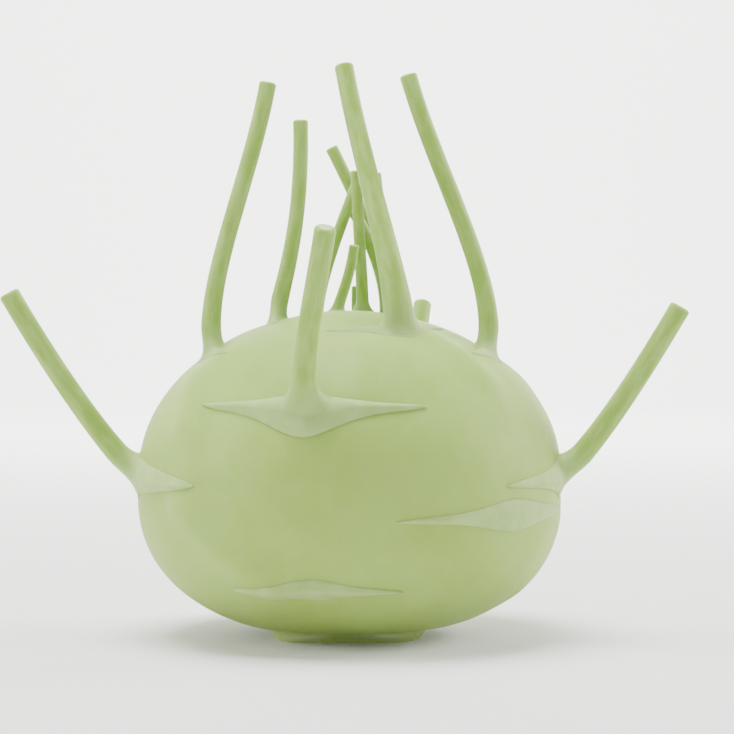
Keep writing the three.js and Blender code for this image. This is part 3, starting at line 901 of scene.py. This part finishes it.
def rind(name, roughness, sheen, subsurface):
    """The rind: olive low on the ball and fresher green by the young leaves, with blotches of 20 mm,
    mottling of 4 mm and specks of 0.8 mm, fibres that run up the ball and patches drawn out along the
    stalks, and a fine bump of pores."""
    material, tree = new_material(name)
    place = add(tree, "ShaderNodeTexCoord").outputs["Object"]
    grain = add(tree, "ShaderNodeAttribute", attribute_name="grain").outputs["Vector"]
    on_base = add(tree, "ShaderNodeAttribute", attribute_name="on_base").outputs["Fac"]
    on_stalk = add(tree, "ShaderNodeAttribute", attribute_name="on_stalk").outputs["Fac"]

    blotches = add(tree, "ShaderNodeTexNoise", {"Vector": place, "Scale": per(20), "Detail": 3.0})
    mottling = add(tree, "ShaderNodeTexNoise", {"Vector": place, "Scale": per(4), "Detail": 4.0})
    specks = add(tree, "ShaderNodeTexNoise", {"Vector": place, "Scale": per(0.8), "Detail": 2.0})
    upright = add(tree, "ShaderNodeMapping", {"Vector": place, "Scale": (1, 1, 0.1)})
    fibres = add(tree, "ShaderNodeTexNoise",
                 {"Vector": upright.outputs["Vector"], "Scale": per(2.6), "Detail": 3.0})
    # The grain is in mm already, so its scale is plainly how many streaks there are to a millimetre.
    streaks = add(tree, "ShaderNodeTexNoise", {"Vector": grain, "Scale": STREAKS_PER_MM, "Detail": 3.0})

    # How much of a second colour each pattern lays on: 0 to `most` between two levels of its noise.
    shares = {}
    for pattern, noise, low, high, most in [
            ("bloom", blotches, 0.3, 0.75, 1.0), ("fibres", fibres, 0.45, 0.75, 0.35),
            ("cork", mottling, 0.35, 0.65, 1.0), ("streaks", streaks, 0.35, 0.68, 1.0),
            ("film", mottling, 0.4, 0.8, 0.12), ("specks", specks, 0.6, 0.74, 0.1)]:
        stretched = add(tree, "ShaderNodeMapRange", {"Value": noise.outputs["Fac"], "From Min": low,
                                                     "From Max": high, "To Max": most},
                        interpolation_type="SMOOTHSTEP")
        shares[pattern] = stretched.outputs["Result"]

    height = add(tree, "ShaderNodeSeparateXYZ", {"Vector": place}).outputs["Z"]
    upper = add(tree, "ShaderNodeMapRange",
                {"Value": height, "From Min": FRESH_FROM * MM, "From Max": FRESH_BY * MM})

    # Each row lays one colour over another, and the last row is the whole rind.
    layers = {layer: linear(code) for layer, code in RIND.items()}
    for layer, under, over, how_much in [
            ("green", "olive", "fresh", upper.outputs["Result"]),
            ("skin", "green", "pale", shares["bloom"]), ("fibrous", "skin", "pale", shares["fibres"]),
            ("base", "base_grey", "base_pale", shares["cork"]),
            ("stalk", "stalk_green", "stalk_pale", shares["streaks"]),
            ("ball", "fibrous", "base", on_base), ("plant", "ball", "stalk", on_stalk),
            ("filmed", "plant", "wax", shares["film"]), ("rind", "filmed", "wax", shares["specks"])]:
        laid = add(tree, "ShaderNodeMix", {FACTOR: how_much, UNDER: layers[under], OVER: layers[over]},
                   data_type="RGBA")
        layers[layer] = laid.outputs[MIXED]

    rubbed = add(tree, "ShaderNodeMapRange", {"Value": mottling.outputs["Fac"], "From Min": 0.35,
                                              "From Max": 0.7, "To Min": roughness - RUBBED["shinier"],
                                              "To Max": roughness + RUBBED["duller"]})
    pores = add(tree, "ShaderNodeMath", {FIRST: specks.outputs["Fac"], SECOND: fibres.outputs["Fac"]},
                operation="ADD")
    relief = add(tree, "ShaderNodeMath", {FIRST: pores.outputs["Value"], SECOND: streaks.outputs["Fac"]},
                 operation="ADD")
    bump = add(tree, "ShaderNodeBump", {"Height": relief.outputs["Value"], "Strength": 0.5,
                                        "Distance": 0.05 * MM})
    shader = add(tree, "ShaderNodeBsdfPrincipled", {
        "Base Color": layers["rind"], "Roughness": rubbed.outputs["Result"], "IOR": 1.42,
        "Specular IOR Level": 0.15, "Subsurface Weight": subsurface,
        "Subsurface Radius": (1.0, 1.0, 0.45), "Subsurface Scale": 2.5 * MM,
        "Sheen Weight": sheen, "Sheen Roughness": 0.45, "Sheen Tint": linear(WAX_SHEEN),
        "Normal": bump.outputs["Normal"]})
    add(tree, "ShaderNodeOutputMaterial", {"Surface": shader.outputs["BSDF"]})
    return material


waxy_skin = rind("waxy_kohlrabi_skin", roughness=0.52, sheen=0.03, subsurface=0.3)
base_tissue = rind("corky_leaf_base", roughness=0.6, sheen=0.06, subsurface=0.25)
stalk_rind = rind("waxy_leaf_stalk", roughness=0.45, sheen=0.06, subsurface=0.3)
bulb.data.materials.append(waxy_skin)
for base in bases:
    base.data.materials.append(base_tissue)
print("rind:", [m.name for m in (waxy_skin, base_tissue, stalk_rind)])

# %% [markdown]
# Where a stalk is cut, its pith shows: paler, wet when it was fresh and a little dried now, with a ring
# of small bundles that carried the sap, and a green rim of rind.

# %% Cut stalk ends
PITH_DEEP, PITH_PALE, PITH_BUNDLE = 0xB2C486, 0xC0CF9A, 0x9DB071
BUNDLE_RING = dict(middle=0.3, half=0.14)


def cut_pith():
    """Pith, from the attribute to_middle: 0 at the rim and near 1 in the middle. The ring of bundles
    is a band of it, broken up by cells 0.55 mm apart."""
    material, tree = new_material("cut_stalk_pith")
    place = add(tree, "ShaderNodeTexCoord").outputs["Object"]
    inward = add(tree, "ShaderNodeAttribute", attribute_name="to_middle").outputs["Fac"]
    spongy = add(tree, "ShaderNodeTexNoise", {"Vector": place, "Scale": per(0.6), "Detail": 3.0})
    cells = add(tree, "ShaderNodeTexVoronoi", {"Vector": place, "Scale": per(0.55)})
    rim = add(tree, "ShaderNodeMapRange", {"Value": inward, "From Min": 0.05, "From Max": 0.3})
    band = add(tree, "ShaderNodeMath",
               {FIRST: inward, SECOND: BUNDLE_RING["middle"], THIRD: BUNDLE_RING["half"]},
               operation="COMPARE")
    dots = add(tree, "ShaderNodeMapRange", {"Value": cells.outputs["Distance"], "From Min": 0.2,
                                            "From Max": 0.5, "To Min": 0.55, "To Max": 0.0})
    bundles = add(tree, "ShaderNodeMath", {FIRST: band.outputs["Value"], SECOND: dots.outputs["Result"]},
                  operation="MULTIPLY")
    pith = add(tree, "ShaderNodeMix", {FACTOR: spongy.outputs["Fac"], UNDER: linear(PITH_DEEP),
                                       OVER: linear(PITH_PALE)}, data_type="RGBA")
    rimmed = add(tree, "ShaderNodeMix", {FACTOR: rim.outputs["Result"], UNDER: linear(RIND["stalk_pale"]),
                                         OVER: pith.outputs[MIXED]}, data_type="RGBA")
    colour = add(tree, "ShaderNodeMix", {FACTOR: bundles.outputs["Value"], UNDER: rimmed.outputs[MIXED],
                                         OVER: linear(PITH_BUNDLE)}, data_type="RGBA")
    bump = add(tree, "ShaderNodeBump", {"Height": spongy.outputs["Fac"], "Strength": 0.5,
                                        "Distance": 0.08 * MM})
    shader = add(tree, "ShaderNodeBsdfPrincipled", {
        "Base Color": colour.outputs[MIXED], "Roughness": 0.5, "IOR": 1.38, "Subsurface Weight": 0.3,
        "Subsurface Radius": (1.0, 1.0, 0.6), "Subsurface Scale": 1.5 * MM,
        "Normal": bump.outputs["Normal"]})
    add(tree, "ShaderNodeOutputMaterial", {"Surface": shader.outputs["BSDF"]})
    return material


pith = cut_pith()
for petiole, materials, _ in petioles:
    petiole.data.materials.append(stalk_rind)
    petiole.data.materials.append(pith)
    petiole.data.polygons.foreach_set("material_index", materials)
print("cut ends:", sum(int(materials.sum()) for _, materials, _ in petioles), "faces of pith")

# %% [markdown]
# The root stub is woodier. Its wall is a paler green than the skin, with fine dull cracks that run up
# it and still paler scars. Its sawn face is straw coloured at the edge, and takes on more of the wall's
# green towards the middle, where it is a little hollow.

# %% Woody root
BARK_GREEN, BARK_PALE, BARK_CRACK, BARK_SCAR = 0x9AB657, 0xADC176, 0x7C7F4C, 0xB4C48A
SAWN_DARK, SAWN_PALE = 0xBDB88E, 0xD9D6B8
SAWN_BELOW, BARK_ABOVE = 0.05, 0.2


def woody_root():
    """Colour by height: sawn below 0.05 mm, bark above 0.2 mm and a blend between. Fibres are noise
    1.2 mm apart, drawn out four times upwards."""
    material, tree = new_material("woody_root_stub")
    place = add(tree, "ShaderNodeTexCoord").outputs["Object"]
    height = add(tree, "ShaderNodeSeparateXYZ", {"Vector": place}).outputs["Z"]
    stretched = add(tree, "ShaderNodeMapping", {"Vector": place, "Scale": (1, 1, 0.25)})
    fibres = add(tree, "ShaderNodeTexNoise",
                 {"Vector": stretched.outputs["Vector"], "Scale": per(1.2), "Detail": 4.0})
    blotches = add(tree, "ShaderNodeTexNoise", {"Vector": place, "Scale": per(6), "Detail": 3.0})
    cracked = add(tree, "ShaderNodeMapRange", {"Value": fibres.outputs["Fac"], "From Min": 0.56,
                                               "From Max": 0.75, "To Max": 0.2})
    on_scar = add(tree, "ShaderNodeAttribute", attribute_name="on_base").outputs["Fac"]
    is_bark = add(tree, "ShaderNodeMapRange",
                  {"Value": height, "From Min": SAWN_BELOW * MM, "From Max": BARK_ABOVE * MM})

    wall = add(tree, "ShaderNodeMix", {FACTOR: blotches.outputs["Fac"], UNDER: linear(BARK_GREEN),
                                       OVER: linear(BARK_PALE)}, data_type="RGBA")
    bark = add(tree, "ShaderNodeMix", {FACTOR: cracked.outputs["Result"], UNDER: wall.outputs[MIXED],
                                       OVER: linear(BARK_CRACK)}, data_type="RGBA")
    scarred = add(tree, "ShaderNodeMix", {FACTOR: on_scar, UNDER: bark.outputs[MIXED],
                                          OVER: linear(BARK_SCAR)}, data_type="RGBA")
    sawn = add(tree, "ShaderNodeMix", {FACTOR: fibres.outputs["Fac"], UNDER: linear(SAWN_DARK),
                                       OVER: linear(SAWN_PALE)}, data_type="RGBA")
    colour = add(tree, "ShaderNodeMix", {FACTOR: is_bark.outputs["Result"], UNDER: sawn.outputs[MIXED],
                                         OVER: scarred.outputs[MIXED]}, data_type="RGBA")
    bump = add(tree, "ShaderNodeBump", {"Height": fibres.outputs["Fac"], "Strength": 0.5,
                                        "Distance": 0.06 * MM})
    shader = add(tree, "ShaderNodeBsdfPrincipled", {
        "Base Color": colour.outputs[MIXED], "Roughness": 0.62, "IOR": 1.45, "Subsurface Weight": 0.15,
        "Subsurface Radius": (1.0, 0.9, 0.5), "Subsurface Scale": 1.5 * MM,
        "Normal": bump.outputs["Normal"]})
    add(tree, "ShaderNodeOutputMaterial", {"Surface": shader.outputs["BSDF"]})
    return material


root.data.materials.append(woody_root())
print("root stub: finished")

# %% [markdown]
# The stage is a wide pale bowl: a floor that curves up into a wall all round, so that no horizon shows
# from any side. It catches the soft shadow and sends pale light back up under the ball.

# %% Floor
FLOOR = dict(innermost=0.05, flat=1.3, bend=0.5, wall=1.5)
FLOOR_GRID = dict(flat=12, bend=13, around=96)
PAPER_DARK, PAPER_PALE = 0xE4E4E2, 0xEAEAE8


def make_floor():
    """A profile turned about the axis: flat, then a quarter of a circle, then a wall."""
    flat = np.linspace(FLOOR["innermost"], 1, FLOOR_GRID["flat"]) * FLOOR["flat"]
    bend = np.linspace(0, np.pi / 2, FLOOR_GRID["bend"] + 1)[1:]
    widest, top = FLOOR["flat"] + FLOOR["bend"], FLOOR["bend"] + FLOOR["wall"]
    sizes = np.concatenate([flat, FLOOR["flat"] + FLOOR["bend"] * np.sin(bend), [widest]])
    heights = np.concatenate([0 * flat, FLOOR["bend"] * (1 - np.cos(bend)), [top]])
    azimuth = 360 * np.arange(FLOOR_GRID["around"]) / FLOOR_GRID["around"]
    rows = outward(azimuth)[None] * sizes[:, None, None]
    rows[..., 2] = heights[:, None]
    at, _, quads = grid_faces(len(sizes), len(azimuth))
    mesh = bpy.data.meshes.new("floor")
    mesh.from_pydata(rows.reshape(-1, 3).tolist(), [], quads[:, ::-1].tolist() + [at[0].tolist()])
    mesh.shade_smooth()
    floor = bpy.data.objects.new("floor", mesh)
    bpy.context.scene.collection.objects.link(floor)
    return floor


def pale_paper():
    """Matt paper with a faint tooth 1.5 mm across."""
    material, tree = new_material("pale_paper")
    place = add(tree, "ShaderNodeTexCoord").outputs["Object"]
    tooth = add(tree, "ShaderNodeTexNoise", {"Vector": place, "Scale": per(1.5), "Detail": 2.0})
    colour = add(tree, "ShaderNodeMix", {FACTOR: tooth.outputs["Fac"], UNDER: linear(PAPER_DARK),
                                         OVER: linear(PAPER_PALE)}, data_type="RGBA")
    shader = add(tree, "ShaderNodeBsdfPrincipled", {
        "Base Color": colour.outputs[MIXED], "Roughness": 0.9, "Specular IOR Level": 0.1})
    add(tree, "ShaderNodeOutputMaterial", {"Surface": shader.outputs["BSDF"]})
    return material


make_floor().data.materials.append(pale_paper())
print("floor:", 2 * (FLOOR["flat"] + FLOOR["bend"]), "m across")

# %% [markdown]
# The light is that of a bright, even room. A soft lamp hangs above, one stands far out on each side,
# and a faint one in front keeps the shadows open. The strongest looks only at the floor and wall behind,
# so that they stay pale. Even light from all round fills the rest.

# %% Light
LIGHTS = [
    dict(name="soft_top", place=(-0.1, 0.04, 0.8), look=(0, 0, 0.05), size=0.5, watts=16.0),
    dict(name="soft_left", place=(-1.2, 0.03, 0.36), look=(0, 0, 0.05), size=0.5, watts=9.8),
    dict(name="soft_right", place=(1.1, 0.4, 0.5), look=(0, 0, 0.05), size=0.5, watts=19.0),
    dict(name="soft_front", place=(-0.3, -1.1, 0.4), look=(0, 0, 0.03), size=0.4, watts=1.9),
    dict(name="soft_back", place=(0, 0.9, 0.9), look=(0, 1.8, 0.1), size=0.9, watts=55.0),
]
SKY = dict(colour=0xFFFFFF, strength=0.15)


def add_light(name, place, look, size, watts):
    """A square area light that looks from one place at another: it is tipped up from straight down by
    atan2(level part of its way, -height of it), and turned to face that way."""
    light = bpy.data.objects.new(name, bpy.data.lights.new(name, "AREA"))
    bpy.context.scene.collection.objects.link(light)
    light.data.size = size
    light.data.energy = watts
    light.location = place
    way = np.array(look) - np.array(place)
    light.rotation_euler = (np.arctan2(np.hypot(way[0], way[1]), -way[2]), 0, np.arctan2(-way[0], way[1]))
    return light


for light in LIGHTS:
    add_light(**light)
world = bpy.data.worlds.new("soft_sky")
bpy.context.scene.world = world
world.use_nodes = True
sky = world.node_tree.nodes["Background"].inputs
sky["Color"].default_value = linear(SKY["colour"])
sky["Strength"].default_value = SKY["strength"]
print("lights:", {light["name"]: light["watts"] for light in LIGHTS}, "watts")
